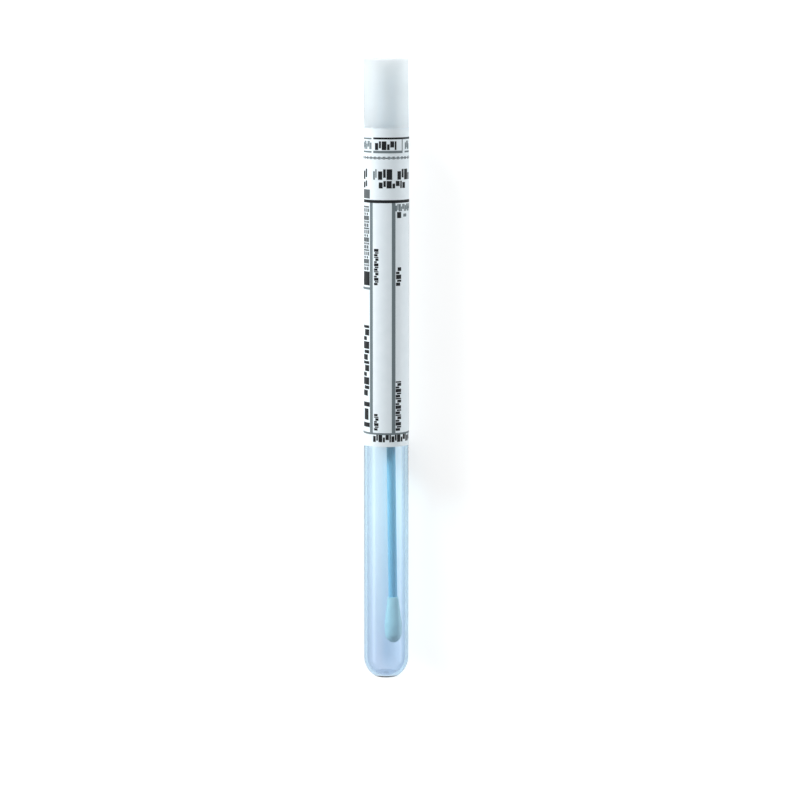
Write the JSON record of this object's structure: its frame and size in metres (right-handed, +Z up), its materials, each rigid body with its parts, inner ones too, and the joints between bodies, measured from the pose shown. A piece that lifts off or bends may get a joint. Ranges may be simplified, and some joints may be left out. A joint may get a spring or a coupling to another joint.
{
  "type": "specimen swab tube",
  "caption": "Dry specimen swab in a round-bottomed clear tube, its stick held by a push-in stopper cap, with a paper label that seals the joint.",
  "frame": {"origin": "On the surface that the tube lies on, below the middle of its whole length.", "axes": "+Y along the tube's axis towards the cap, +Z up, +X to the right when seen from above with the cap at the top, the side that the stick leans to"},
  "size_m": [0.0122, 0.1666, 0.0122],
  "materials": {
    "clear_tube": "clear moulded polypropylene, glossy",
    "milky_cap": "milky moulded polyethylene, satin gloss",
    "blue_stick": "moulded polystyrene, satin",
    "wound_fibre": "wound viscose fibre, matt",
    "label_paper": "smooth coated label paper, matt"
  },
  "bodies": {
    "tube": {"tube": "clear_tube", "label": "label_paper"},
    "swab": {"stopper": "milky_cap", "swab_stick": "blue_stick", "swab_bud": "wound_fibre", "seal_strip": "label_paper"}
  },
  "joints": [
    {"name": "swab_pull", "type": "slide", "parent": "tube", "child": "swab", "axis": [0, 1, 0], "range_m": [0, 0.141]}
  ]
}
